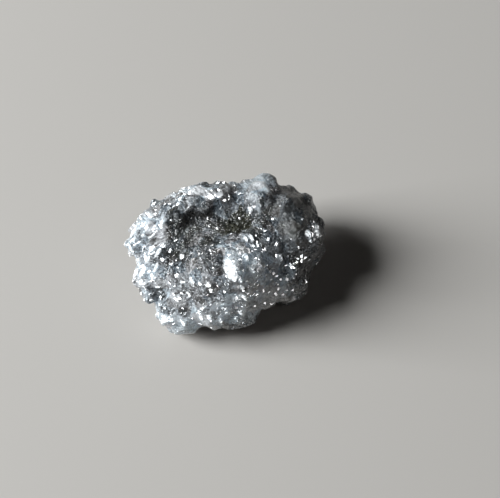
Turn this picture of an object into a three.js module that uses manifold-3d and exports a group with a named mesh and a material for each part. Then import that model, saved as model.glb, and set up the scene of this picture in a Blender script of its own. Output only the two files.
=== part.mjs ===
// A rough grey diamond: one small intergrown stone, lumpy and pitted, its skin a mass of blunt
// octahedral crystals, with a hollow along its top and a small flat spot under it to rest on.
// Millimetres, +Z up, origin in the middle of the underside, +X along the stone's length.
import * as THREE from "three";
import { ConvexGeometry } from "three/addons/geometries/ConvexGeometry.js";
import { mergeVertices } from "three/addons/utils/BufferGeometryUtils.js";
import Module from "manifold-3d";

// Driving dimensions: the finished stone is exactly this big.
const LENGTH = 6.6;
const DEPTH = 4.9;
const HEIGHT = 3.9;

const REST_CUT = 0.24; // how much the flat spot takes off the lowest point
const LUMP_CORNERS = 32; // corners of a lump's faceted skin
const LUMP_UNEVENNESS = 0.05; // how far those corners stray in and out, as a share of the lump
const CRYSTAL_SPACING = 0.57; // between neighbouring crystals of grain 1
const UNDERSIDE_COARSER = 1.5; // crystals on the underside are this much bigger
const UNDERSIDE_SLOPE = -0.5; // the underside is where the skin faces down more steeply than this
const CRYSTAL_RADIUS = [0.45, 0.9]; // smallest and largest, before its corners are cut
const LARGEST_SHARE = 0.8; // no crystal's radius is more than this share of its lump's smallest one
const CRYSTAL_RISE = [0.02, 0.16]; // how far it stands out of its lump, at grain 1
const CRYSTAL_BLUNTNESS = [0.55, 0.9]; // where each corner is cut, in radii
const CRYSTAL_STRETCH = [0.85, 1.2];
const LATTICE_SPREAD = 0.3; // how far crystals turn from the lattice of their lump
const LATH_THINNESS = 0.75; // how thin crystals are across when they are drawn out into laths
const PLACES_PER_CRYSTAL = 4; // places tried for each crystal that finds room
const BURIED = 0.06; // a place this deep in another lump stays bare, as a share of that lump
const SEED = 8;
const WELD = 2e-3; // corners closer than this are one

// The lumps that give the stone its form. at is the middle and half the half size, as shares of
// LENGTH, DEPTH and HEIGHT, turn is about Z in degrees, and grain scales the crystals on it.
// Where lath is given, the crystals are laths this many times as long, lying along the turn.
const LUMPS = {
  core: { at: [0, 0, 0.45], half: [0.4, 0.4, 0.37], turn: 10, grain: 1 },
  seat: { at: [0.01, 0, 0.17], half: [0.27, 0.28, 0.18], turn: 0, grain: 1.1 },
  backRidge: { at: [-0.11, 0.24, 0.64], half: [0.27, 0.19, 0.28], turn: 16, grain: 0.85 },
  backTop: { at: [0.12, 0.29, 0.62], half: [0.2, 0.17, 0.27], turn: 0, grain: 0.9 },
  leftShoulder: { at: [-0.285, 0.18, 0.54], half: [0.2, 0.185, 0.24], turn: 34, grain: 0.8, lath: 1.6 },
  leftTip: { at: [-0.385, 0.09, 0.46], half: [0.1, 0.12, 0.15], turn: 38, grain: 0.55, lath: 1.5 },
  leftFlank: { at: [-0.305, -0.095, 0.42], half: [0.155, 0.19, 0.29], turn: 25, grain: 0.9, lath: 1.4 },
  footLeft: { at: [-0.22, -0.31, 0.3], half: [0.145, 0.165, 0.24], turn: -10, grain: 0.9 },
  front: { at: [0, -0.17, 0.56], half: [0.24, 0.23, 0.38], turn: 0, grain: 1 },
  frontLow: { at: [-0.08, -0.28, 0.36], half: [0.2, 0.19, 0.3], turn: 0, grain: 1 },
  footFront: { at: [0.045, -0.3, 0.3], half: [0.14, 0.155, 0.25], turn: 25, grain: 1.1 },
  footRight: { at: [0.28, -0.11, 0.36], half: [0.125, 0.185, 0.29], turn: 0, grain: 1.1 },
  rightLobe: { at: [0.34, 0.12, 0.49], half: [0.14, 0.24, 0.34], turn: 12, grain: 1.1 },
  backRight: { at: [0.285, 0.235, 0.5], half: [0.185, 0.23, 0.36], turn: -15, grain: 1.1 },
};

// A smooth clear grain that stands up from the back edge.
const KNOB = { at: [0.19, 0.425, 0.76], half: [0.065, 0.075, 0.09], turn: 0 };

// One broad flat face high on the front, on a crystal of its own.
const BROAD_FACE = { at: [0.027, -0.27, 0.925], facing: [-0.43, -0.15, 0.89] };
const BROAD_CRYSTAL = { size: [0.55, 0.9, 0.6], bluntness: [0.5, 0.5] };

// The hollow: a run of blunt pits across the top, from the left to the back right.
const HOLLOW = { from: [-0.27, 0.06, 0.82], to: [0.13, 0.19, 0.95], pits: 8, radius: [0.5, 0.75] };

const UP = new THREE.Vector3(0, 0, 1);
const WHOLE = new THREE.Vector3(LENGTH, DEPTH, HEIGHT);

const wasm = await Module();
wasm.setup();

/** A repeatable random number between two limits (mulberry32). */
function makeBetween(seed) {
  let state = seed >>> 0;
  return (low, high) => {
    state = (state + 0x6d2b79f5) >>> 0;
    let mix = Math.imul(state ^ (state >>> 15), state | 1);
    mix ^= mix + Math.imul(mix ^ (mix >>> 7), mix | 61);
    const share = ((mix ^ (mix >>> 14)) >>> 0) / 2 ** 32;
    return low + (high - low) * share;
  };
}

/** A closed three.js geometry with its corners welded, as a manifold-3d solid. */
function toSolid(geometry, weld = 1e-5) {
  const bare = new THREE.BufferGeometry();
  bare.setAttribute("position", geometry.getAttribute("position"));
  bare.setIndex(geometry.getIndex());
  const merged = mergeVertices(bare, weld);
  const corners = merged.getIndex().array;
  const kept = [];
  for (let i = 0; i < corners.length; i += 3) {
    const [a, b, c] = corners.subarray(i, i + 3);
    if (a !== b && b !== c && c !== a) kept.push(a, b, c);
  }
  return new wasm.Manifold(
    new wasm.Mesh({
      numProp: 3,
      vertProperties: merged.getAttribute("position").array,
      triVerts: new Uint32Array(kept),
    }),
  );
}

/** A manifold-3d solid as a three.js geometry. */
function toGeometry(solid) {
  const { vertProperties, triVerts } = solid.getMesh();
  const geometry = new THREE.BufferGeometry();
  geometry.setAttribute("position", new THREE.BufferAttribute(vertProperties, 3));
  geometry.setIndex(new THREE.BufferAttribute(triVerts, 1));
  return geometry;
}

/** Point i of count spread evenly over a unit sphere, from the top down. */
function spherePoint(i, count) {
  const z = 1 - (2 * i + 1) / count;
  const around = i * Math.PI * (3 - Math.sqrt(5));
  const reach = Math.sqrt(1 - z * z);
  return new THREE.Vector3(reach * Math.cos(around), reach * Math.sin(around), z);
}

/** The middle, turn and half sizes of a lump, which carry a unit sphere to its ellipsoid. */
function lumpPlace({ at, half, turn }) {
  return {
    middle: new THREE.Vector3(...at).multiply(WHOLE),
    turned: new THREE.Quaternion().setFromAxisAngle(UP, THREE.MathUtils.degToRad(turn)),
    radii: new THREE.Vector3(...half).multiply(WHOLE),
  };
}

/** A lump's own faceted skin: the hull of slightly uneven points on its ellipsoid. */
function lumpGeometry(lump, between) {
  const { middle, turned, radii } = lumpPlace(lump);
  const corners = [];
  for (let i = 0; i < LUMP_CORNERS; i += 1) {
    const reach = 1 + between(-LUMP_UNEVENNESS, LUMP_UNEVENNESS);
    const corner = spherePoint(i, LUMP_CORNERS).multiplyScalar(reach);
    corners.push(corner.multiply(radii).applyQuaternion(turned).add(middle));
  }
  return new ConvexGeometry(corners);
}

/** A blunt octahedral crystal of unit radius: each of its six corners is cut off square. */
function crystalGeometry(between, bluntness = CRYSTAL_BLUNTNESS) {
  const corners = [];
  for (const axis of [0, 1, 2]) {
    for (const end of [-1, 1]) {
      const cut = between(...bluntness);
      for (const sideways of [1, 2]) {
        for (const side of [-1, 1]) {
          const corner = new THREE.Vector3();
          corner.setComponent(axis, end * cut);
          corner.setComponent((axis + sideways) % 3, side * (1 - cut));
          corners.push(corner);
        }
      }
    }
  }
  return new ConvexGeometry(corners);
}

/** A random turn: any way round at reach 1, and a small one at a small reach. */
function randomTurn(between, reach = 1) {
  const [x, y, z] = [between(-reach, reach), between(-reach, reach), between(-reach, reach)];
  return new THREE.Quaternion(x, y, z, 1).normalize();
}

/** A crystal as a solid, sunk until only its outermost corner rises this far above its foot. */
function setIn(crystal, foot, outward, rise) {
  const corners = crystal.getAttribute("position");
  const corner = new THREE.Vector3();
  let reach = 0;
  for (let i = 0; i < corners.count; i += 1) {
    reach = Math.max(reach, corner.fromBufferAttribute(corners, i).dot(outward));
  }
  const centre = foot.clone().addScaledVector(outward, rise - reach);
  return toSolid(crystal.translate(...centre));
}

/** True if a point lies well inside a lump. */
function isBuried(point, lump) {
  const { middle, turned, radii } = lumpPlace(lump);
  const seen = point.clone().sub(middle).applyQuaternion(turned.clone().invert()).divide(radii);
  return 1 - seen.length() > BURIED;
}

/** The crystals on one lump, set into it wherever no other lump covers it and there is room. */
function crystalsOn(lump, others, feet, between) {
  const { middle, turned, radii } = lumpPlace(lump);
  const spacing = CRYSTAL_SPACING * lump.grain;
  const skin = (4 / 3) * Math.PI * (radii.x * radii.y + radii.y * radii.z + radii.z * radii.x);
  const places = Math.round((PLACES_PER_CRYSTAL * skin) / spacing ** 2);
  const lattice = lump.lath ? turned : randomTurn(between);
  const crystals = [];
  for (let i = 0; i < places; i += 1) {
    const onSphere = spherePoint(i, places);
    const outward = onSphere.clone().divide(radii).normalize().applyQuaternion(turned);
    const foot = onSphere.multiply(radii).applyQuaternion(turned).add(middle);
    const coarser = outward.z < UNDERSIDE_SLOPE ? UNDERSIDE_COARSER : 1;
    if (others.some((other) => isBuried(foot, other))) continue;
    if (feet.some((other) => other.distanceTo(foot) < spacing * coarser)) continue;
    feet.push(foot);

    const wanted = between(...CRYSTAL_RADIUS) * lump.grain * coarser;
    const radius = Math.min(wanted, LARGEST_SHARE * Math.min(...radii));
    const turn = lattice.clone().multiply(randomTurn(between, LATTICE_SPREAD));
    const stretch = () => radius * between(...CRYSTAL_STRETCH);
    const size = new THREE.Vector3(stretch(), stretch(), stretch());
    if (lump.lath) size.multiply(new THREE.Vector3(lump.lath, LATH_THINNESS, LATH_THINNESS));
    const crystal = crystalGeometry(between).scale(...size).applyQuaternion(turn);
    crystals.push(setIn(crystal, foot, outward, between(...CRYSTAL_RISE) * lump.grain));
  }
  return crystals;
}

/** The pits of the hollow. */
function hollowPits(between) {
  const from = new THREE.Vector3(...HOLLOW.from).multiply(WHOLE);
  const to = new THREE.Vector3(...HOLLOW.to).multiply(WHOLE);
  const pits = [];
  for (let i = 0; i < HOLLOW.pits; i += 1) {
    const middle = from.clone().lerp(to, i / (HOLLOW.pits - 1));
    const size = new THREE.Vector3().setScalar(between(...HOLLOW.radius));
    const place = new THREE.Matrix4().compose(middle, randomTurn(between), size);
    pits.push(toSolid(crystalGeometry(between).applyMatrix4(place)));
  }
  return pits;
}

/** The middle of the broad face. */
function broadFaceMiddle() {
  return new THREE.Vector3(...BROAD_FACE.at).multiply(WHOLE);
}

/** The crystal that the broad face is on, turned so that one of its cut corners is that face. */
function broadFaceCrystal(between) {
  const facing = new THREE.Vector3(...BROAD_FACE.facing).normalize();
  const turn = new THREE.Quaternion().setFromUnitVectors(UP, facing);
  const crystal = crystalGeometry(between, BROAD_CRYSTAL.bluntness).scale(...BROAD_CRYSTAL.size);
  return setIn(crystal.applyQuaternion(turn), broadFaceMiddle(), facing, 0);
}

/** The stone with its flat spot cut, before it is brought to size. */
function roughStone() {
  const between = makeBetween(SEED);
  const lumps = Object.values(LUMPS);
  const feet = [broadFaceMiddle()];
  const grown = [];
  for (const lump of lumps) {
    const others = lumps.filter((other) => other !== lump);
    grown.push(toSolid(lumpGeometry(lump, between)), ...crystalsOn(lump, others, feet, between));
  }
  grown.push(toSolid(lumpGeometry(KNOB, between)), broadFaceCrystal(between));
  const whole = wasm.Manifold.union(grown);

  const bed = new THREE.BoxGeometry(2 * LENGTH, 2 * DEPTH, HEIGHT);
  bed.translate(0, 0, whole.boundingBox().min[2] + REST_CUT - HEIGHT / 2);
  return wasm.Manifold.difference([whole, toSolid(bed), ...hollowPits(between)]);
}

/** The stone at its real size, standing on its flat spot over the origin, in one closed skin. */
function diamondGeometry() {
  const geometry = toGeometry(roughStone());
  geometry.computeBoundingBox();
  const { min, max } = geometry.boundingBox;
  geometry.translate(-(min.x + max.x) / 2, -(min.y + max.y) / 2, -min.z);
  geometry.scale(LENGTH / (max.x - min.x), DEPTH / (max.y - min.y), HEIGHT / (max.z - min.z));

  const bySize = (a, b) => b.volume() - a.volume();
  const [stone] = toSolid(geometry, WELD).decompose().sort(bySize);
  return toGeometry(stone);
}

const greyDiamond = new THREE.MeshStandardMaterial({ color: 0x787c80, roughness: 0.25, metalness: 0.4 });

const diamond = new THREE.Mesh(diamondGeometry(), greyDiamond);
diamond.name = "diamond";
diamond.geometry.computeVertexNormals();

const model = new THREE.Group();
model.add(diamond);

export default model;
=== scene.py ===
"""A rough grey diamond on a pale floor.

The stone is grown from its solid: generations of small crystals are scattered over it, fused with it
into one skin, worn down where the stone is worn, and cut flat where it rests.
"""

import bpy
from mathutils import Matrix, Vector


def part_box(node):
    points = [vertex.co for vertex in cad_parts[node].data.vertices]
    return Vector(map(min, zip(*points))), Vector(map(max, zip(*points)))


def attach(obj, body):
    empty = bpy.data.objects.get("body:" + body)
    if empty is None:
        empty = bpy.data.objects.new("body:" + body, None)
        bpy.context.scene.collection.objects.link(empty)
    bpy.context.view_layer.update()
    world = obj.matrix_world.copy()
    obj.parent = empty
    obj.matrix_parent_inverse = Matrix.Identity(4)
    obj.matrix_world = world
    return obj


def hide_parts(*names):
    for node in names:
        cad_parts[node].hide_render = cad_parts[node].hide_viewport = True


bl_info = {
    "name": "Rough Diamond",
    "version": (1, 0, 0),
    "blender": (4, 5, 0),
    "location": "View3D > Sidebar > Rough Diamond",
    "description": "Grows a rough grey diamond, with its finish and a studio to show it in",
    "category": "Object",
}

import math
from collections.abc import Callable
from types import SimpleNamespace
from typing import NamedTuple

import bmesh
import bpy
import numpy as np
from bpy.props import FloatProperty, FloatVectorProperty, IntProperty, PointerProperty
from mathutils import Matrix, Quaternion, Vector
from mathutils.bvhtree import BVHTree
from mathutils.kdtree import KDTree

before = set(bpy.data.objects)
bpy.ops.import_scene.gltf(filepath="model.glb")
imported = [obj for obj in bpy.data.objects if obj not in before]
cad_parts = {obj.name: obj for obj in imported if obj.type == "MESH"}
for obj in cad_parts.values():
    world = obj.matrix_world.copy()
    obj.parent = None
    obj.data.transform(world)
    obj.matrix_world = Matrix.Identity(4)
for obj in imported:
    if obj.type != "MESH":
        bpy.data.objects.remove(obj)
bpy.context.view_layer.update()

NODE = "diamond"
SLOT = "grey_diamond"
MM = 0.001  # the stone is grown in millimetres and brought to metres at the end

LOW, HIGH = (Vector(corner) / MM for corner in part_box(NODE))
MIDDLE = (LOW + HIGH) / 2
SPAN = HIGH - LOW


def stone_point(x, y, z):
    """A point of the stone in millimetres, from shares of its box: -0.5 to 0.5 in x and y, 0 to 1 in z."""
    return Vector((MIDDLE.x + x * SPAN.x, MIDDLE.y + y * SPAN.y, LOW.z + z * SPAN.z))


# --- the stone's named values, with lengths in millimetres ----------------------------------------

SEED = 11
SKIN_GRID = 0.041  # how fine the finished skin is
FINEST_SKIN = 0.038  # the finest that stays well under 200,000 triangles
MERGE_GAP = 1e-3  # points of the solid that lie closer than this are one point
SEAT_DROP = 0.1  # a second solid hangs this far under the first, so that the cut leaves a flat spot

# single crystals
STOCK = 12  # how many crystals a generation has to copy from
CORNER_CUT = (0.5, 0.85)  # how far out an octahedron's corners are cut, as shares of its radius
LATH_SIDES = 6
LATH_TAPER = 0.8  # how thick a lath's thin end is, against its thick one
TRIES = 8  # places tried for each square of skin, one spacing wide
DEPTH_VARIES = (0.88, 1.25)  # how a crystal's depth differs from that of its generation
SIZE_VARIES = (0.85, 1.15)  # and its size, along each side on its own

# the way crystals lie
LATTICE_TURN = math.radians(35)  # how the lattice is turned about the upright
LATTICE_SWAY = 0.9  # how far that turn changes along the stone, in radians
LATTICE_LEAN = 1.1  # and how far the lattice leans over, to one side or the other
RIDGE_START = stone_point(-0.28, 0.27, 0.7)  # the ridge lies behind this point and to its right
RIDGE_HEADING = Vector((0.8, -0.7, 0))  # laths run across the ridge
LEFT_HEADING = Vector((0.65, 0.75, 0))  # and up to the right over the left end
FRONT_HEADING = Vector((0.4, -0.9, 0))  # bare faces elsewhere run towards the front
LEFT_END = -0.3  # where the left end stops, in shares of the stone's length

# wear
ZONE_FADED = 1.25  # where a zone has faded out, as a share of its reach
ZONE_FADE = 0.5  # and the share of its reach that it takes to fade
WANDER_BROAD = 0.22  # how far a zone's edge wanders in slow waves
WANDER_NARROW = 0.14  # and in quick ones
LATH_RUB = 0.4  # how far laths are rubbed down, where 1 is fully worn
HALF_WORN = 0.6  # the share of the medium crystals that full wear takes away
SMOOTHING = 0.5  # how far one round of smoothing takes a point to the middle of its neighbours
TIP_ROUNDS = 14  # rounds of smoothing that give the level which tips stand out of
TIP_HEIGHT = 0.04  # how far a tip may stand out and stay whole
TIP_WEAR = 0.85  # the share of the rest that is rubbed off
WEAR_STEPS = (0.0, 0.3, 0.45, 0.6, 0.7, 0.8, 0.9)  # each smooths the points that are more worn than it
FILLING_GRID = 0.1  # how fine the filling of the grooves is
FILLING_ROUNDS = 24  # and how often it is smoothed

# bare faces
PLATE_RISE = 0.07  # how far a bare face stands above the skin
PLATE_SIDES = 7
PLATE_FOOT = 1.25  # how wide the foot of its crystal is, against the face
PLATE_REACH = 0.5  # no bare face reaches this far from its middle
PLATE_LEVEL = 0.05  # how far off the face's level the skin still belongs to it

# the two ways in which grain faces flash: about half way from the eye to the window, and to the accent
FLASH = Vector((-0.459, -0.249, 0.853)).normalized()
SECOND = Vector((0.146, -0.356, 0.923)).normalized()

# --- the finish's named values: cells to the metre, and depths in metres --------------------------

PATCH_CELLS = 3500.0  # darker and lighter patches
DOMAIN_CELLS = 2200.0  # stretches of grains that lie alike
GLINT_CELLS = 11000.0  # single faces that can glint
GRAIN_CELLS = 5000.0  # grains that stand out
CRUMB_CELLS = 12000.0  # and the crumbs on them
SUGAR_CELLS = 9000.0  # the sugary skin of worn places
SPECK_CELLS = 16000.0  # the finest specks
RELIEF_DEPTH = 0.0001  # what a height of 1 in the relief stands for
FACING_LEAST = 0.2  # a grain glints only where the skin faces its way at least so much
HALF = (0.5, 0.5, 0.5)  # the middle of a colour's range
LOOSE_TILT = (2.2, 2.2, 1.6, 1.0)  # how far apart grains lie, in radians about x, y and z
LATH_TILT = (0.3, 0.3, 0.4, 1.0)  # and how far apart laths do
GRAIN_SQUEEZE = (0.9, 1.05, 1.05, 1.0)  # the less a cell is squeezed along a side, the longer it is
LATH_SQUEEZE = (0.3, 1.2, 1.2, 1.0)
GLASS_IOR = 2.42  # diamond's
MILK_IOR = 1.8  # milky grains mirror less than clear ones
MILK = 0.75  # the share of light that goes into a milky grain and comes out again
MILK_DEPTH = 0.001  # how far it goes

# --- the stage's named values, in metres, with lens and sensor in millimetres ---------------------

FLOOR_REACH = 4.0  # from the middle of the floor to its edges
FLOOR_ROUGHNESS = 0.85
KEY_SIDE = Vector((-0.8, 0.0, 0.54))  # a window to the left
KEY_DISTANCE = 0.2
KEY_SIZE = (0.08, 0.16)
ACCENT_SIDE = Vector((0.3, -0.3, 0.9))  # a small lamp overhead, for the second glints
ACCENT_DISTANCE = 0.3
ACCENT_SIZE = (0.018, 0.018)
LENS = 100
SENSOR = 36
VIEW_WIDTH = 0.0165  # how much the view takes in from side to side
AIM_RIGHT = 0.0007755  # where it aims, from the middle of the stone
AIM_UP = 0.000165
NEAREST = 0.001
FARTHEST = 10


# --- zones and their looks ------------------------------------------------------------------------


def uneven(places):
    """A slow wander, in millimetres, that keeps the edges of the zones from looking drawn."""
    x, y, z = places.T
    broad = np.sin(3.1 * x + 1.7 * y) * np.sin(2.3 * y - 2.9 * z + 1.0)
    narrow = np.sin(7.3 * x - 4.1 * z) * np.sin(6.7 * y + 3.7 * x + 2.0)
    return WANDER_BROAD * broad + WANDER_NARROW * narrow


class Zone:
    """A stretch of the stone with looks of its own: it runs from one point to another and fades out.

    Its points are shares of the stone's box, and its reach is in millimetres.
    """

    def __init__(self, start, end, reach, **looks):
        self.start = np.array(stone_point(*start))
        self.along = np.array(stone_point(*end)) - self.start
        self.reach = reach
        self.looks = looks

    def share(self, places):
        """How far each place belongs to the zone, from 0 outside it to 1 in its middle."""
        length = max(self.along @ self.along, 1e-9)
        part = np.clip((places - self.start) @ self.along / length, 0, 1)
        gap = np.linalg.norm(places - self.start - part[:, None] * self.along, axis=1) + uneven(places)
        inside = np.clip((ZONE_FADED - gap / self.reach) / ZONE_FADE, 0, 1)
        return inside * inside * (3 - 2 * inside)


# what a place looks like where no zone says otherwise
LOOKS = {
    "silver": 0.42,  # how bright its milky grains are; some zones also use it for painted light, painted shade and painted highlights
    "clear": 0.3,  # how much of it is smoky glass
    "worn": 0.4,  # how far its crystals are worn down
    "stain": 0.0,  # how far it is stained olive brown
    "laths": 0.0,  # how far its grains are long laths
    "glint": 0.07,  # how many of its grain faces glint
    "heading": 40,  # which way its grains run, in degrees
    "dull": 0.0,  # how matt it is
}

ZONES = [
    # the right lobe: smoky glass, worn smooth
    Zone((0.42, 0.1, 0.5), (0.43, -0.2, 0.3), 1.0,
         silver=0.06, clear=0.5, worn=0.9, stain=0.3, glint=0.03, dull=0.5),
    # the shoulder behind it
    Zone((0.24, 0.34, 0.6), (0.36, 0.18, 0.75), 0.95,
         silver=0.05, clear=0.5, worn=0.75, stain=0.2, glint=0.02, dull=0.5),
    # its front, down towards the floor
    Zone((0.36, -0.1, 0.6), (0.35, -0.3, 0.2), 0.55,
         silver=0.08, clear=0.5, worn=0.7, stain=0.3, glint=0.06),
    # a cluster of sharp grains on top of it
    Zone((0.42, 0.06, 0.79), (0.44, 0.02, 0.74), 0.3,
         silver=0.35, clear=0.3, worn=0.0, stain=0.0, glint=0.15, dull=0.0),
    # silver laths at the left tip
    Zone((-0.46, 0.05, 0.6), (-0.36, 0.02, 0.6), 0.8,
         silver=0.6, clear=0.0, worn=0.55, stain=0.0, laths=1.0, glint=0.26),
    # and over the left flank, towards the front
    Zone((-0.42, -0.1, 0.5), (-0.35, -0.35, 0.5), 0.9,
         silver=0.64, clear=0.05, worn=0.4, stain=0.0, laths=0.8, glint=0.26),
    # and along the ridge at the back, where they run across it
    Zone((-0.4, 0.2, 0.6), (-0.12, 0.36, 0.75), 0.55,
         silver=0.68, clear=0.1, worn=0.2, stain=0.0, laths=1.0, glint=0.2, heading=-45),
    # brighter laths on top of the left end: their lighter colour is partly a painted highlight, beside real
    # glinting faces
    Zone((-0.39, 0.09, 0.76), (-0.34, 0.09, 0.8), 0.3,
         silver=0.8, clear=0.0, worn=0.3, stain=0.0, laths=1.0, glint=0.35),
    # and on top of the ridge, lightened the same way as a painted highlight
    Zone((-0.15, 0.3, 0.9), (-0.08, 0.29, 0.95), 0.3,
         silver=0.85, clear=0.0, worn=0.3, stain=0.0, laths=1.0, glint=0.3, heading=-45),
    # darker grains left of the middle
    Zone((-0.25, -0.1, 0.75), (-0.03, -0.2, 0.93), 0.5,
         silver=0.2, clear=0.3, worn=0.3, stain=0.0, glint=0.08),
    # a smooth grey band on the ridge, left of the knob
    Zone((-0.02, 0.37, 0.9), (0.1, 0.38, 0.9), 0.4,
         silver=0.38, clear=0.2, worn=0.7, stain=0.0, glint=0.1, heading=-60),
    # the whitish foot
    Zone((-0.28, -0.45, 0.2), (-0.14, -0.47, 0.3), 0.85,
         silver=0.95, clear=0.1, worn=0.5, stain=0.0, glint=0.12),
    # a greyer spot above it
    Zone((-0.34, -0.3, 0.48), (-0.28, -0.36, 0.48), 0.35,
         silver=0.35, clear=0.2, worn=0.4, stain=0.0, glint=0.12),
    # milky grains along the front, their own tone raised as painted light, since the lamps leave this side in
    # shade
    Zone((0.02, -0.4, 0.5), (0.22, -0.32, 0.5), 0.85,
         silver=0.88, clear=0.08, worn=0.2, stain=0.15, glint=0.2),
    # and up to the middle, raised the same way as painted light on shaded grains
    Zone((0.1, -0.2, 0.88), (0.2, -0.24, 0.65), 0.75,
         silver=0.88, clear=0.05, worn=0.2, stain=0.1, glint=0.2),
    # a greyer, smooth stretch behind them
    Zone((0.16, 0.02, 0.82), (0.18, 0.12, 0.82), 0.4,
         silver=0.3, clear=0.25, worn=0.9, stain=0.25, glint=0.06),
    # a smooth yellowish spot beside that
    Zone((0.21, -0.02, 0.72), (0.22, -0.05, 0.72), 0.22,
         silver=0.7, clear=0.1, worn=1.0, stain=0.4, glint=0.0),
    # a dull dark patch between that and the right lobe
    Zone((0.3, 0.02, 0.83), (0.31, 0.12, 0.85), 0.48,
         silver=0.0, clear=0.1, worn=0.9, stain=0.2, glint=0.03, dull=0.8),
    # the hollow along the top: its dark grains are painted shade, with some olive stain
    Zone((-0.22, 0.09, 0.8), (-0.02, 0.14, 0.82), 0.48,
         silver=0.12, clear=0.3, worn=0.3, stain=0.4, glint=0.06),
    # and its front side, darkened the same way: painted shade with some olive stain
    Zone((-0.2, 0.0, 0.74), (-0.08, 0.0, 0.8), 0.4,
         silver=0.12, clear=0.3, worn=0.3, stain=0.4, glint=0.06),
    # an olive stain at the hollow's right end
    Zone((0.04, 0.15, 0.82), (0.09, 0.15, 0.82), 0.28,
         silver=0.16, clear=0.3, worn=0.5, stain=0.8, glint=0.04),
    # and a smaller one in front of that
    Zone((-0.02, 0.04, 0.8), (0.0, 0.03, 0.8), 0.16,
         silver=0.16, clear=0.3, worn=0.5, stain=0.8, glint=0.04),
    # a smooth slab on the left of the stain
    Zone((-0.03, 0.21, 0.84), (0.01, 0.2, 0.84), 0.25,
         silver=0.45, clear=0.1, worn=0.9, stain=0.0, glint=0.05),
    # and a smooth one on its right, made lighter as a painted highlight
    Zone((0.14, 0.2, 0.86), (0.15, 0.25, 0.86), 0.22,
         silver=0.8, clear=0.1, worn=0.6, stain=0.1, glint=0.1),
    # the milky knob
    Zone((0.18, 0.4, 0.85), (0.18, 0.42, 0.7), 0.45,
         silver=1.0, clear=0.2, worn=1.0, stain=0.0, glint=0.0, dull=0.7),
]


def looks_at(places):
    """The looks at each place, the later zones laid over the earlier."""
    looks = {name: np.full(len(places), value) for name, value in LOOKS.items()}
    for zone in ZONES:
        share = zone.share(places)
        for name, value in zone.looks.items():
            looks[name] = looks[name] * (1 - share) + value * share
    return looks


def rubbed(looks):
    """How far the crystals are rubbed down: where the stone is worn, and a little where it has laths."""
    return np.clip(looks["worn"] + LATH_RUB * looks["laths"], 0, 1)


# --- crystals -------------------------------------------------------------------------------------


def blunt_octahedron(bm, rng):
    """An octahedron of unit radius, with each corner cut off at its own depth."""
    bmesh.ops.create_uvsphere(bm, u_segments=4, v_segments=2, radius=1.0)
    for corner in [vert.co.copy() for vert in bm.verts]:
        cut_flat(bm, corner * rng.uniform(*CORNER_CUT), corner)


def lath(bm, rng):
    """A six-sided crystal that lies along x and is thinner at one end. It leaves nothing to chance."""
    bmesh.ops.create_cone(bm, cap_ends=True, segments=LATH_SIDES, radius1=1.0, radius2=LATH_TAPER, depth=2.0)
    bmesh.ops.rotate(bm, cent=(0, 0, 0), matrix=Matrix.Rotation(math.pi / 2, 3, "Y"), verts=bm.verts)


def cut_flat(bm, place, outward):
    """Cuts a body off at a plane and closes the cut."""
    geom = bm.verts[:] + bm.edges[:] + bm.faces[:]
    made = bmesh.ops.bisect_plane(bm, geom=geom, plane_co=place, plane_no=outward, clear_outer=True)
    rim = [part for part in made["geom_cut"] if isinstance(part, bmesh.types.BMEdge)]
    bmesh.ops.edgeloop_fill(bm, edges=rim)


def mesh_from(bm, name):
    """A new mesh from what was modelled, which is then let go."""
    mesh = bpy.data.meshes.new(name)
    bm.to_mesh(mesh)
    bm.free()
    return mesh


def stock_of(shape, rng):
    """A few ready crystals of one shape, as meshes that copies are taken from."""
    stock = []
    for _ in range(STOCK):
        bm = bmesh.new()
        shape(bm, rng)
        bmesh.ops.recalc_face_normals(bm, faces=bm.faces)
        stock.append(mesh_from(bm, "crystal_stock"))
    return stock


def everywhere(looks):
    """Crystals all over the stone."""
    return np.ones_like(looks["worn"])


def sharp_places(looks):
    """More crystals where the stone is less rubbed."""
    return 1 - rubbed(looks)


def half_worn_places(looks):
    """Somewhat fewer crystals where the stone is rubbed."""
    return 1 - HALF_WORN * rubbed(looks)


def lath_places(looks):
    """Crystals only where the stone has laths."""
    return looks["laths"]


class Generation(NamedTuple):
    """One growth of crystals."""

    name: str
    shape: Callable  # makes one crystal of unit radius
    radius: tuple  # the smallest and the largest
    spacing: float  # how near two crystals may lie
    depth: float  # how far a crystal's middle lies under the skin, in radii
    stretch: tuple = (1, 1, 1)  # how far it reaches along each side, in radii
    lattice: float = 0.3  # how far it may turn out of the common way
    where: Callable = everywhere  # the chance that a crystal grows, from the looks
    lying: bool = False  # whether it lies along the skin, the way the laths run


GENERATIONS = [
    Generation("coarse", blunt_octahedron, radius=(0.25, 0.42), spacing=0.4, depth=1.0),
    Generation("medium", blunt_octahedron, radius=(0.15, 0.24), spacing=0.24, depth=0.9,
               lattice=0.5, where=half_worn_places),
    Generation("laths", lath, radius=(0.08, 0.12), spacing=0.24, depth=0.85,
               stretch=(1.3, 1, 0.8), lattice=0.12, where=lath_places, lying=True),
    Generation("fine", blunt_octahedron, radius=(0.09, 0.14), spacing=0.17, depth=0.6,
               lattice=0.8, where=sharp_places),
]


def places_of(mesh):
    """The places of a mesh's points."""
    places = np.zeros(len(mesh.vertices) * 3)
    mesh.vertices.foreach_get("co", places)
    return places.reshape(-1, 3)


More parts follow.
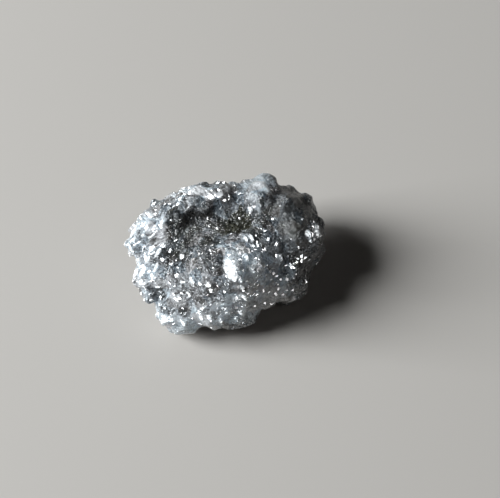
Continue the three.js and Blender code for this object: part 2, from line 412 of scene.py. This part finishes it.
class Skin:
    """The stone's surface as triangles, to scatter crystals on."""

    def __init__(self, mesh):
        mesh.calc_loop_triangles()
        corners = np.zeros(len(mesh.loop_triangles) * 3, dtype=np.int64)
        mesh.loop_triangles.foreach_get("vertices", corners)
        self.corners = places_of(mesh)[corners.reshape(-1, 3)]
        first, second, third = self.corners[:, 0], self.corners[:, 1], self.corners[:, 2]
        across = np.cross(second - first, third - first)
        length = np.linalg.norm(across, axis=1)
        self.area = length / 2
        self.normals = across / np.maximum(length, 1e-12)[:, None]

    def tree(self):
        """The triangles as a tree, to find the nearest place on them."""
        points = [Vector(point) for point in self.corners.reshape(-1, 3)]
        triangles = [(3 * i, 3 * i + 1, 3 * i + 2) for i in range(len(self.corners))]
        return BVHTree.FromPolygons(points, triangles)

    def scatter(self, rng, spacing):
        """Points on the skin that keep their spacing, each with its normal."""
        tries = int(TRIES * self.area.sum() / spacing**2)
        pick = rng.choice(len(self.area), size=tries, p=self.area / self.area.sum())
        u, v = rng.random((2, tries, 1))
        u = np.sqrt(u)
        a, b, c = self.corners[pick, 0], self.corners[pick, 1], self.corners[pick, 2]
        points = a * (1 - u) + b * u * (1 - v) + c * u * v
        cells = {}
        kept = []
        near = [(x, y, z) for x in (-1, 0, 1) for y in (-1, 0, 1) for z in (-1, 0, 1)]
        for index, point in enumerate(points):
            home = tuple((point // spacing).astype(int))
            around = [i for x, y, z in near for i in cells.get((home[0] + x, home[1] + y, home[2] + z), ())]
            if around and ((points[around] - point) ** 2).sum(1).min() < spacing**2:
                continue
            cells.setdefault(home, []).append(index)
            kept.append(index)
        return points[kept], self.normals[pick[kept]]


def random_turn(rng, reach):
    """A turn in any direction, small where the reach is small."""
    x, y, z = rng.uniform(-reach, reach, 3)
    return Quaternion((1, x, y, z)).normalized()


def region_lattice(point):
    """The way the crystals lie around a point: it changes slowly from one end of the stone to the other."""
    across = Quaternion((0, 0, 1), LATTICE_TURN + LATTICE_SWAY * math.sin(1.3 * point[0] + 0.7))
    return across @ Quaternion((1, 0, 0), LATTICE_LEAN * math.sin(1.1 * point[1] + 0.9 * point[2]))


def heading_at(point):
    """The way the laths run at a point."""
    return RIDGE_HEADING if point[1] > RIDGE_START.y and point[0] > RIDGE_START.x else LEFT_HEADING


def turn_onto(facing, heading):
    """The turn that faces a crystal one way and points its length another."""
    along = (heading - facing * heading.dot(facing)).normalized()
    return Matrix((along, facing.cross(along), facing)).transposed().to_quaternion()


def grow(generation, skin, faces, rng):
    """The crystals of one generation as one mesh, kept off the bare faces."""
    stock = stock_of(generation.shape, rng)
    points, normals = skin.scatter(rng, generation.spacing)
    chances = generation.where(looks_at(points))
    for face in faces:
        chances[np.linalg.norm(points - np.array(face.place), axis=1) < face.half_length] = 0
    bm = bmesh.new()
    for point, normal, chance in zip(points, normals, chances):
        if rng.random() > chance:
            continue
        first = len(bm.verts)
        bm.from_mesh(stock[rng.integers(len(stock))])
        bm.verts.ensure_lookup_table()
        radius = rng.uniform(*generation.radius)
        base = turn_onto(Vector(normal), heading_at(point)) if generation.lying else region_lattice(point)
        turn = base @ random_turn(rng, generation.lattice)
        centre = Vector(point) - Vector(normal) * radius * generation.depth * rng.uniform(*DEPTH_VARIES)
        size = Vector([radius * s * rng.uniform(*SIZE_VARIES) for s in generation.stretch])
        bmesh.ops.transform(bm, matrix=Matrix.LocRotScale(centre, turn, size), verts=bm.verts[first:])
    return mesh_from(bm, generation.name)


# --- bare faces -----------------------------------------------------------------------------------

# each one's place, in shares of the stone's box, then half its length and half its width in millimetres
BARE_FACES = [
    # the broad one in the middle, and what lies round it
    ((0.03, -0.28, 0.94), (0.43, 0.21)),
    ((0.06, -0.31, 0.9), (0.2, 0.07)),
    ((0.1, -0.17, 0.92), (0.17, 0.07)),
    ((0.13, -0.25, 0.87), (0.15, 0.06)),
    ((-0.08, -0.32, 0.81), (0.17, 0.07)),
    ((-0.16, -0.28, 0.72), (0.2, 0.08)),
    ((-0.18, -0.32, 0.58), (0.14, 0.06)),
    # round the stain
    ((0.12, 0.19, 0.86), (0.12, 0.09)),
    ((0.1, -0.02, 0.86), (0.14, 0.05)),
    ((0.14, -0.01, 0.86), (0.16, 0.07)),
    # on the smoky right end
    ((0.4, 0.05, 0.78), (0.18, 0.1)),
    ((0.42, 0.01, 0.76), (0.15, 0.08)),
    ((0.44, 0.06, 0.76), (0.14, 0.07)),
    ((0.45, 0.1, 0.76), (0.1, 0.07)),
    ((0.27, -0.1, 0.7), (0.14, 0.05)),
    ((0.38, -0.2, 0.35), (0.18, 0.08)),
    ((0.45, -0.04, 0.5), (0.1, 0.07)),
    # down the front
    ((0.08, -0.34, 0.8), (0.14, 0.07)),
    ((0.09, -0.38, 0.7), (0.18, 0.06)),
    ((0.07, -0.4, 0.45), (0.16, 0.07)),
    ((0.12, -0.39, 0.37), (0.13, 0.06)),
    ((0.05, -0.43, 0.38), (0.11, 0.05)),
    ((0.17, -0.3, 0.63), (0.16, 0.05)),
    ((0.21, -0.26, 0.62), (0.14, 0.06)),
    ((0.18, -0.33, 0.4), (0.12, 0.05)),
    # above the foot
    ((-0.03, -0.45, 0.42), (0.16, 0.07)),
    ((-0.08, -0.45, 0.46), (0.11, 0.08)),
    ((-0.12, -0.45, 0.44), (0.13, 0.08)),
    ((-0.21, -0.47, 0.4), (0.15, 0.06)),
    ((-0.31, -0.44, 0.38), (0.2, 0.08)),
    # laths that lie bare on the left end
    ((-0.46, 0.1, 0.64), (0.2, 0.08)),
    ((-0.41, -0.18, 0.62), (0.22, 0.09)),
    ((-0.38, -0.11, 0.69), (0.16, 0.07)),
    ((-0.33, -0.08, 0.74), (0.2, 0.07)),
    ((-0.34, -0.16, 0.66), (0.2, 0.06)),
    ((-0.42, -0.2, 0.47), (0.16, 0.08)),
    ((-0.4, 0.0, 0.61), (0.16, 0.06)),
]


class BareFace(NamedTuple):
    """One smooth face that lies open and faces the first common way."""

    place: Vector  # its middle, on the skin
    half_length: float
    half_width: float
    heading: Vector  # the way its length runs

    def turn(self):
        """The turn that lays something along the face."""
        return turn_onto(FLASH, self.heading)


def bare_faces(skin):
    """The bare faces, each brought onto the skin."""
    tree = skin.tree()
    faces = []
    for share, (half_length, half_width) in BARE_FACES:
        place = tree.find_nearest(stone_point(*share))[0]
        heading = heading_at(place) if share[0] < LEFT_END else FRONT_HEADING
        faces.append(BareFace(place, half_length, half_width, heading))
    return faces


def bare_plates(faces):
    """A crystal under each bare face, as one mesh: it holds the face up and goes down into the stone."""
    bm = bmesh.new()
    for face in faces:
        first = len(bm.verts)
        shape = {"segments": PLATE_SIDES, "radius1": PLATE_FOOT, "radius2": 1.0, "depth": 1.0}
        bmesh.ops.create_cone(bm, cap_ends=True, **shape)
        bm.verts.ensure_lookup_table()
        size = Vector((face.half_length, face.half_width, 2 * PLATE_RISE + face.half_width))
        centre = face.place + FLASH * (PLATE_RISE - size.z / 2)
        bmesh.ops.transform(bm, matrix=Matrix.LocRotScale(centre, face.turn(), size), verts=bm.verts[first:])
    return mesh_from(bm, "plates")


def bareness(faces, places):
    """1 on the bare faces and 0 everywhere else."""
    tree = KDTree(len(faces))
    for index, face in enumerate(faces):
        tree.insert(face.place, index)
    tree.balance()
    bare = np.zeros(len(places))
    for index, place in enumerate(places):
        for _, which, _ in tree.find_range(Vector(place), PLATE_REACH):
            face = faces[which]
            local = face.turn().inverted() @ (Vector(place) - face.place)
            inside = (local.x / face.half_length) ** 2 + (local.y / face.half_width) ** 2
            if inside < 1 and abs(local.z - PLATE_RISE) < PLATE_LEVEL:
                bare[index] = 1
    return bare


# --- the stone ------------------------------------------------------------------------------------


def solid_copy():
    """The stone's solid as one merged mesh in millimetres."""
    bm = bmesh.new()
    bm.from_mesh(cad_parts[NODE].data)
    bmesh.ops.scale(bm, vec=(1 / MM, 1 / MM, 1 / MM), verts=bm.verts)
    bmesh.ops.remove_doubles(bm, verts=bm.verts, dist=MERGE_GAP)
    return mesh_from(bm, "solid")


def fused(meshes, grid):
    """All the meshes fused into one even skin."""
    bm = bmesh.new()
    for mesh in meshes:
        bm.from_mesh(mesh)
    shape = bpy.data.objects.new("growing", mesh_from(bm, "loose"))
    bpy.context.scene.collection.objects.link(shape)
    modifier = shape.modifiers.new("fuse", "REMESH")
    modifier.mode = "VOXEL"
    modifier.voxel_size = grid
    result = bpy.data.meshes.new_from_object(shape.evaluated_get(bpy.context.evaluated_depsgraph_get()))
    bpy.data.objects.remove(shape)
    return result


def smooth(bm, verts):
    """One round of smoothing."""
    axes = {"use_axis_x": True, "use_axis_y": True, "use_axis_z": True}
    bmesh.ops.smooth_vert(bm, verts=verts, factor=SMOOTHING, **axes)


def groove_filling(solid):
    """A softened copy of the solid: it shows only in the grooves between the lumps, which it partly fills."""
    mesh = fused([solid], FILLING_GRID)
    bm = bmesh.new()
    bm.from_mesh(mesh)
    for _ in range(FILLING_ROUNDS):
        smooth(bm, bm.verts)
    bm.to_mesh(mesh)
    bm.free()
    return mesh


def keep_largest(bm):
    """Leaves only the largest body, without the crumbs that fusing can leave."""
    seen = set()
    bodies = []
    for vert in bm.verts:
        if vert in seen:
            continue
        seen.add(vert)
        body = [vert]
        for known in body:
            for edge in known.link_edges:
                other = edge.other_vert(known)
                if other not in seen:
                    seen.add(other)
                    body.append(other)
        bodies.append(body)
    bodies.sort(key=len)
    crumbs = [vert for body in bodies[:-1] for vert in body]
    bmesh.ops.delete(bm, geom=crumbs, context="VERTS")


def wear_tips(bm):
    """Rubs down what stands far out of its surroundings, and leaves the rest as it was."""
    before = [vert.co.copy() for vert in bm.verts]
    for _ in range(TIP_ROUNDS):
        smooth(bm, bm.verts)
    bm.normal_update()
    for vert, was in zip(bm.verts, before):
        out = (was - vert.co).dot(vert.normal)
        vert.co = was - vert.normal * max(out - TIP_HEIGHT, 0) * TIP_WEAR


def grown_stone(rng, grid):
    """The whole stone, its crystals grown, fused and worn, with its looks on its points."""
    solid = solid_copy()
    lowered = solid.copy()
    lowered.transform(Matrix.Translation((0, 0, -SEAT_DROP)))
    skin = Skin(solid)
    faces = bare_faces(skin)
    crystals = [grow(generation, skin, faces, rng) for generation in GENERATIONS]
    mesh = fused([solid, lowered, groove_filling(solid), bare_plates(faces), *crystals], grid)
    bm = bmesh.new()
    bm.from_mesh(mesh)
    keep_largest(bm)
    wear_tips(bm)
    # the points keep their numbers in the mesh as it was fused, so the wear is looked up there
    worn = rubbed(looks_at(places_of(mesh)))
    for least in WEAR_STEPS:
        smooth(bm, [vert for vert in bm.verts if worn[vert.index] > least])
    cut_flat(bm, (0, 0, LOW.z), (0, 0, -1))
    bm.to_mesh(mesh)
    bm.free()
    places = places_of(mesh)
    looks = looks_at(places)
    looks["bare"] = bareness(faces, places)
    for name, values in looks.items():
        layer = mesh.attributes.new(name, "FLOAT", "POINT")
        layer.data.foreach_set("value", values.astype(np.float32))
    mesh.shade_smooth()
    return mesh


# --- shader maths ---------------------------------------------------------------------------------


class Socket:
    """A node's output, so that shader maths can be written as Python expressions."""

    def __init__(self, nodes, output):
        self.nodes = nodes
        self.output = output

    def _with(self, operation, other, swap=False):
        """This socket and another value, or the other first, through one Math node."""
        first, second = (other, self) if swap else (self, other)
        return self.nodes.add("ShaderNodeMath", {"operation": operation}, [first, second])

    def __add__(self, other):
        return self._with("ADD", other)

    __radd__ = __add__

    def __mul__(self, other):
        return self._with("MULTIPLY", other)

    __rmul__ = __mul__

    def __sub__(self, other):
        return self._with("SUBTRACT", other)

    def __rsub__(self, other):
        return self._with("SUBTRACT", other, swap=True)

    def __gt__(self, other):
        return self._with("GREATER_THAN", other)


class Nodes:
    """The node tree of one finish."""

    def __init__(self, name):
        self.material = bpy.data.materials.new(name)
        self.material.use_nodes = True
        self.tree = self.material.node_tree
        self.tree.nodes.clear()

    def add(self, kind, settings, values, output=0):
        """Adds a node with its settings, then its sockets' values or links, and gives one of its outputs."""
        node = self.tree.nodes.new(kind)
        for setting, value in settings.items():
            setattr(node, setting, value)
        pairs = values.items() if isinstance(values, dict) else enumerate(values)
        for socket, value in pairs:
            if isinstance(value, Socket):
                self.tree.links.new(value.output, node.inputs[socket])
            else:
                node.inputs[socket].default_value = value
        return Socket(self, node.outputs[output])

    def attribute(self, name):
        """What the stone's points carry under a name."""
        return self.add("ShaderNodeAttribute", {"attribute_name": name}, {}, output="Fac")

    def cells(self, place, scale, output):
        """Cells round scattered seeds, so many to the metre."""
        return self.add("ShaderNodeTexVoronoi", {}, {"Vector": place, "Scale": scale}, output)

    def eased(self, value, low, high):
        """A value brought from the range low..high to 0..1, easing in and out, and held at both ends."""
        settings = {"interpolation_type": "SMOOTHSTEP"}
        return self.add("ShaderNodeMapRange", settings, {"Value": value, "From Min": low, "From Max": high})

    def mix(self, factor, first, second):
        """Mixes two colours."""
        values = {"Factor": factor, 6: first, 7: second}
        return self.add("ShaderNodeMix", {"data_type": "RGBA"}, values, output=2)

    def mix_vectors(self, factor, first, second):
        """Mixes two vectors."""
        values = {"Factor": factor, 4: first, 5: second}
        return self.add("ShaderNodeMix", {"data_type": "VECTOR"}, values, output=1)

    def vector(self, operation, *values, output=0):
        """One step of vector maths."""
        return self.add("ShaderNodeVectorMath", {"operation": operation}, list(values), output)

    def dot(self, first, second):
        """How far two directions agree."""
        return self.vector("DOT_PRODUCT", first, second, output="Value")

    def channel(self, colour, which):
        """One of a colour's three numbers."""
        return self.dot(colour, tuple(float(which == axis) for axis in range(3)))

    def scaled(self, vector, by):
        """A vector made longer or shorter."""
        return self.add("ShaderNodeVectorMath", {"operation": "SCALE"}, {"Vector": vector, "Scale": by})

    def finish(self, surface, volume=None):
        """Ends the tree at the surface and gives the material."""
        end = self.tree.nodes.new("ShaderNodeOutputMaterial")
        self.tree.links.new(surface.output, end.inputs["Surface"])
        if volume:
            self.tree.links.new(volume.output, end.inputs["Volume"])
        return self.material


# --- the grey diamond's finish --------------------------------------------------------------------


def grain_room(nodes, place, home, chances, look):
    """The place, turned and squeezed about its domain's middle, so that the grains laid in it lie alike.

    Where there are laths, the grains get long as well.
    """
    spread = nodes.mix(look.laths, LOOSE_TILT, LATH_TILT)
    tilt = nodes.vector("MULTIPLY", nodes.vector("SUBTRACT", chances, HALF), spread)
    along = nodes.add("ShaderNodeCombineXYZ", {}, {"Z": look.heading * math.radians(-1)})
    turn = {"Vector": place, "Center": home, "Rotation": nodes.vector("ADD", along, tilt)}
    turned = nodes.add("ShaderNodeVectorRotate", {"rotation_type": "EULER_XYZ"}, turn)
    squeeze = nodes.mix(look.laths, GRAIN_SQUEEZE, LATH_SQUEEZE)
    local = nodes.vector("MULTIPLY", nodes.vector("SUBTRACT", turned, home), squeeze)
    return nodes.vector("ADD", local, home)


def grain_faces(nodes, cells, flash, calm, look):
    """The way each grain's face lies, and whether it glints. Bare faces all glint."""
    facing = nodes.add("ShaderNodeNewGeometry", {}, {}, output="Normal")
    lean = nodes.vector("SUBTRACT", cells, HALF)
    # most grains lean every way about the skin, less where it is worn or calm
    sharp = (1.1 - look.worn * 0.9) * (1 - look.bare) * (1 - calm * 0.6)
    leaning = nodes.vector("ADD", facing, nodes.scaled(lean, sharp))
    # glinting ones lie one of the two common ways, and hardly lean out of it
    second = (look.glint * 0.6 > flash) * (1 - look.bare)
    way = nodes.mix_vectors(second, tuple(FLASH), tuple(SECOND))
    common = nodes.vector("ADD", way, nodes.scaled(lean, 0.35 - second * 0.3 - look.bare * 0.1))
    towards_first = nodes.dot(facing, tuple(FLASH)) > FACING_LEAST
    towards_second = nodes.dot(facing, tuple(SECOND)) > FACING_LEAST
    flashing = (flash > (1 - look.glint)) * towards_first + second * towards_second
    glint = flashing * (1 - look.bare) + look.bare
    return nodes.mix_vectors(glint * (0.9 + second * 0.1), leaning, common), glint


def relief(nodes, place, room, faces, glint, calm, look):
    """The grains standing out of the skin, with crumbs on them and sugar on what is worn."""
    grains = nodes.cells(room, GRAIN_CELLS, "Distance")
    crumbs = nodes.cells(room, CRUMB_CELLS, "Distance")
    noise = {"Vector": place, "Scale": SUGAR_CELLS, "Detail": 3.0, "Roughness": 0.6}
    sugar = nodes.add("ShaderNodeTexNoise", {}, noise)
    large = grains * grains * (1 - look.laths * 0.4) * (1.1 - look.worn * 0.7) * (1 - calm * 0.7)
    fine = crumbs * crumbs * (0.9 - look.worn * 0.75) + sugar * look.worn * 1.2
    height = (large + fine) * (1 - glint + look.bare * 0.15) * (1 - look.dull * 0.4)
    base = nodes.vector("NORMALIZE", faces)
    values = {"Height": height, "Distance": RELIEF_DEPTH, "Strength": 1.0, "Normal": base}
    return nodes.add("ShaderNodeBump", {"invert": True}, values)


def grain_tone(nodes, settings, room, flash, patch, other, hue, look):
    """The grains' colour: from dark to silver, each between a cool and a warm one, and stained in places."""
    speck = nodes.channel(nodes.cells(room, SPECK_CELLS, "Color"), 0)
    specks = (speck - 0.5) * (0.25 + look.silver * 0.38)
    glitter = (flash - 0.5) * (1 - look.worn * 0.5) * (1 - look.bare) * (0.28 + look.silver * 0.15)
    patches = (patch - 0.5) * (0.12 + look.silver * 0.2)
    brightness = nodes.eased(look.silver + (specks + glitter) + patches, 0.0, 1.0)
    dark = nodes.mix(hue, opaque(settings.dark), opaque(settings.warm_dark))
    bright = nodes.mix(hue, opaque(settings.silver), opaque(settings.warm_silver))
    tone = nodes.mix(brightness, dark, bright)
    olive = nodes.mix(brightness, opaque(settings.dark_stain), opaque(settings.stain))
    return nodes.mix(nodes.eased(look.stain + (other - 0.5) * 0.5, 0.1, 0.9), tone, olive)


def opaque(colour):
    """A colour with full alpha."""
    return (*colour, 1.0)


def grey_diamond(settings):
    """Milky silver grains mixed with smoky clear ones."""
    nodes = Nodes(SLOT)
    place = nodes.add("ShaderNodeTexCoord", {}, {}, output="Object")
    look = SimpleNamespace(**{name: nodes.attribute(name) for name in (*LOOKS, "bare")})
    patches = nodes.cells(place, PATCH_CELLS, "Color")
    patch = nodes.channel(patches, 0)
    other = nodes.channel(patches, 1)
    home = nodes.cells(place, DOMAIN_CELLS, "Position")
    chances = nodes.cells(place, DOMAIN_CELLS, "Color")
    calm = nodes.eased(nodes.channel(chances, 1) + look.worn * 0.35, 0.75, 1.15)
    hue = nodes.channel(chances, 2)
    room = grain_room(nodes, place, home, chances, look)
    cells = nodes.cells(room, GLINT_CELLS, "Color")
    flash = nodes.channel(cells, 2)
    faces, glint = grain_faces(nodes, cells, flash, calm, look)
    normal = relief(nodes, place, room, faces, glint, calm, look)
    tone = grain_tone(nodes, settings, room, flash, patch, other, hue, look)
    rough = (calm * 0.2 + look.dull * 0.35 + 0.18) * (1 - glint * 0.5) + look.bare * 0.08
    milk = {"Subsurface Weight": MILK, "Subsurface Radius": (1.0, 1.0, 1.0), "Subsurface Scale": MILK_DEPTH}
    values = {"Base Color": tone, **milk, "Roughness": rough, "IOR": MILK_IOR, "Normal": normal}
    milky = nodes.add("ShaderNodeBsdfPrincipled", {}, values)
    clear = {"Base Color": opaque(settings.glass), "Transmission Weight": 1.0, "IOR": GLASS_IOR}
    values = {**clear, "Roughness": rough * 0.5, "Normal": normal}
    glassy = nodes.add("ShaderNodeBsdfPrincipled", {}, values)
    share = nodes.eased(look.clear + 0.1 + (other - 0.5) * 0.4 - look.bare, 0.0, 1.0)
    surface = nodes.add("ShaderNodeMixShader", {}, {0: share, 1: milky, 2: glassy})
    values = {"Color": opaque(settings.smoke), "Density": settings.smoke_density}
    smoke = nodes.add("ShaderNodeVolumeAbsorption", {}, values)
    return nodes.finish(surface, smoke)


# --- the stage ------------------------------------------------------------------------------------


def plain_floor(settings):
    """A plain matt floor."""
    bm = bmesh.new()
    bmesh.ops.create_grid(bm, x_segments=1, y_segments=1, size=FLOOR_REACH)
    mesh = mesh_from(bm, "floor")
    nodes = Nodes("floor")
    values = {"Base Color": opaque(settings.floor), "Roughness": FLOOR_ROUGHNESS}
    mesh.materials.append(nodes.finish(nodes.add("ShaderNodeBsdfPrincipled", {}, values)))
    return bpy.data.objects.new("floor", mesh)


def area_lamp(name, side, distance, size, power, colour):
    """A lamp with a flat face, to one side of the stone and turned to it."""
    light = bpy.data.lights.new(name, "AREA")
    light.shape = "RECTANGLE"
    light.size, light.size_y = size
    light.energy = power
    light.color = colour
    lamp = bpy.data.objects.new(name, light)
    towards = side.normalized()
    lamp.location = MIDDLE * MM + towards * distance
    lamp.rotation_euler = towards.to_track_quat("Z", "Y").to_euler()
    return lamp


def dim_room(settings):
    """The weak light from all round."""
    world = bpy.data.worlds.new("room")
    world.use_nodes = True
    background = world.node_tree.nodes["Background"]
    background.inputs["Color"].default_value = opaque(settings.fill_colour)
    background.inputs["Strength"].default_value = settings.fill
    return world


def long_lens(settings):
    """A camera with a long lens that looks down at the stone from the front."""
    camera = bpy.data.cameras.new("camera")
    camera.sensor_width = SENSOR
    camera.lens = LENS
    camera.clip_start = NEAREST
    camera.clip_end = FARTHEST
    back = Vector((0, -math.cos(settings.elevation), math.sin(settings.elevation)))
    up = Vector((0, math.sin(settings.elevation), math.cos(settings.elevation)))
    right = Vector((1, 0, 0))
    aim = MIDDLE * MM + right * AIM_RIGHT + up * AIM_UP
    view = bpy.data.objects.new("camera", camera)
    view.location = aim + back * (VIEW_WIDTH * camera.lens / camera.sensor_width)
    view.rotation_euler = back.to_track_quat("Z", "Y").to_euler()
    return view


# --- the add-on -----------------------------------------------------------------------------------


def colour_property(name, description, default):
    """A colour that the panel shows."""
    shown = {"name": name, "description": description, "default": default}
    return FloatVectorProperty(**shown, size=3, subtype="COLOR", min=0, max=1)


class StoneSettings(bpy.types.PropertyGroup):
    """What can be changed about the stone."""

    seed: IntProperty(name="Seed", description="Gives each stone crystals of its own", default=SEED, min=0)
    skin: FloatProperty(
        name="Skin", description="How fine the skin is, in millimetres", default=SKIN_GRID, min=FINEST_SKIN,
        precision=3,
    )
    silver: colour_property("Silver", "Colour of the brightest grains", (0.75, 0.85, 0.94))
    warm_silver: colour_property("Warm silver", "Their colour where they are warmest", (0.82, 0.81, 0.83))
    dark: colour_property("Dark", "Colour of the darkest grains", (0.04, 0.05, 0.06))
    warm_dark: colour_property("Warm dark", "Their colour where they are warmest", (0.056, 0.049, 0.043))
    stain: colour_property("Stain", "Colour of the brightest stained grains", (0.4, 0.385, 0.26))
    dark_stain: colour_property("Dark stain", "Colour of the darkest stained grains", (0.04, 0.038, 0.02))
    glass: colour_property("Glass", "Tint of the clear grains' surface", (0.95, 0.95, 0.97))
    smoke: colour_property("Smoke", "Colour that the inside of the stone lets through", (0.59, 0.585, 0.58))
    smoke_density: FloatProperty(
        name="Smoke density", description="How strongly the inside takes up light", default=600.0, min=0
    )


class StageSettings(bpy.types.PropertyGroup):
    """What can be changed about the stage."""

    floor: colour_property("Floor", "Colour of the floor", (0.595, 0.555, 0.52))
    elevation: FloatProperty(
        name="Elevation", description="How steeply the camera looks down", subtype="ANGLE",
        default=math.radians(65),
    )
    key: FloatProperty(
        name="Window light", description="Power of the window light", subtype="POWER", default=0.69, min=0
    )
    key_colour: colour_property("Window colour", "Colour of the window light", (0.93, 0.98, 1.0))
    accent: FloatProperty(
        name="Accent", description="Power of the small lamp", subtype="POWER", default=0.014, min=0
    )
    accent_colour: colour_property("Accent colour", "Colour of the small lamp", (1.0, 1.0, 1.0))
    fill: FloatProperty(
        name="Fill", description="Strength of the light from all round", default=0.005, min=0
    )
    fill_colour: colour_property("Fill colour", "Colour of the light from all round", (1.0, 0.97, 0.93))


class StoneOperator(bpy.types.Operator):
    """Grows the stone from its solid"""

    bl_idname = "rough_diamond.stone"
    bl_label = "Stone"

    def execute(self, context):
        settings = context.scene.rough_diamond_stone
        grown = grown_stone(np.random.default_rng(settings.seed), settings.skin)
        grown.transform(Matrix.Scale(MM, 4))
        grown.name = "stone"
        stone = bpy.data.objects.new("stone", grown)
        context.scene.collection.objects.link(stone)
        grown.materials.append(grey_diamond(settings))
        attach(stone, "root")
        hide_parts(NODE)
        return {"FINISHED"}


class StageOperator(bpy.types.Operator):
    """Lays the floor and sets the lights and the camera"""

    bl_idname = "rough_diamond.stage"
    bl_label = "Stage"

    def execute(self, context):
        scene = context.scene
        settings = scene.rough_diamond_stage
        floor = plain_floor(settings)
        key = area_lamp("key", KEY_SIDE, KEY_DISTANCE, KEY_SIZE, settings.key, settings.key_colour)
        accent = area_lamp(
            "accent", ACCENT_SIDE, ACCENT_DISTANCE, ACCENT_SIZE, settings.accent, settings.accent_colour
        )
        camera = long_lens(settings)
        for item in (floor, key, accent, camera):
            scene.collection.objects.link(item)
        scene.camera = camera
        scene.world = dim_room(settings)
        scene.view_settings.view_transform = "Standard"
        return {"FINISHED"}


class StonePanel(bpy.types.Panel):
    """The settings, and a button for each operator."""

    bl_idname = "VIEW3D_PT_rough_diamond"
    bl_label = "Rough Diamond"
    bl_space_type = "VIEW_3D"
    bl_region_type = "UI"
    bl_category = "Rough Diamond"

    def draw(self, context):
        column = self.layout.column()
        for settings in (context.scene.rough_diamond_stone, context.scene.rough_diamond_stage):
            for name in settings.__annotations__:
                column.prop(settings, name)
        for operator in OPERATORS:
            column.operator(operator.bl_idname)


OPERATORS = (StoneOperator, StageOperator)
CLASSES = (StoneSettings, StageSettings, *OPERATORS, StonePanel)


def register():
    """Registers the classes and hangs their settings on the scene."""
    for cls in CLASSES:
        bpy.utils.register_class(cls)
    bpy.types.Scene.rough_diamond_stone = PointerProperty(type=StoneSettings)
    bpy.types.Scene.rough_diamond_stage = PointerProperty(type=StageSettings)


def unregister():
    """Takes everything back that register did."""
    del bpy.types.Scene.rough_diamond_stage
    del bpy.types.Scene.rough_diamond_stone
    for cls in reversed(CLASSES):
        bpy.utils.unregister_class(cls)


def main():
    """Makes the stone and its stage."""
    register()
    bpy.ops.rough_diamond.stone()
    bpy.ops.rough_diamond.stage()


if __name__ == "__main__":
    main()
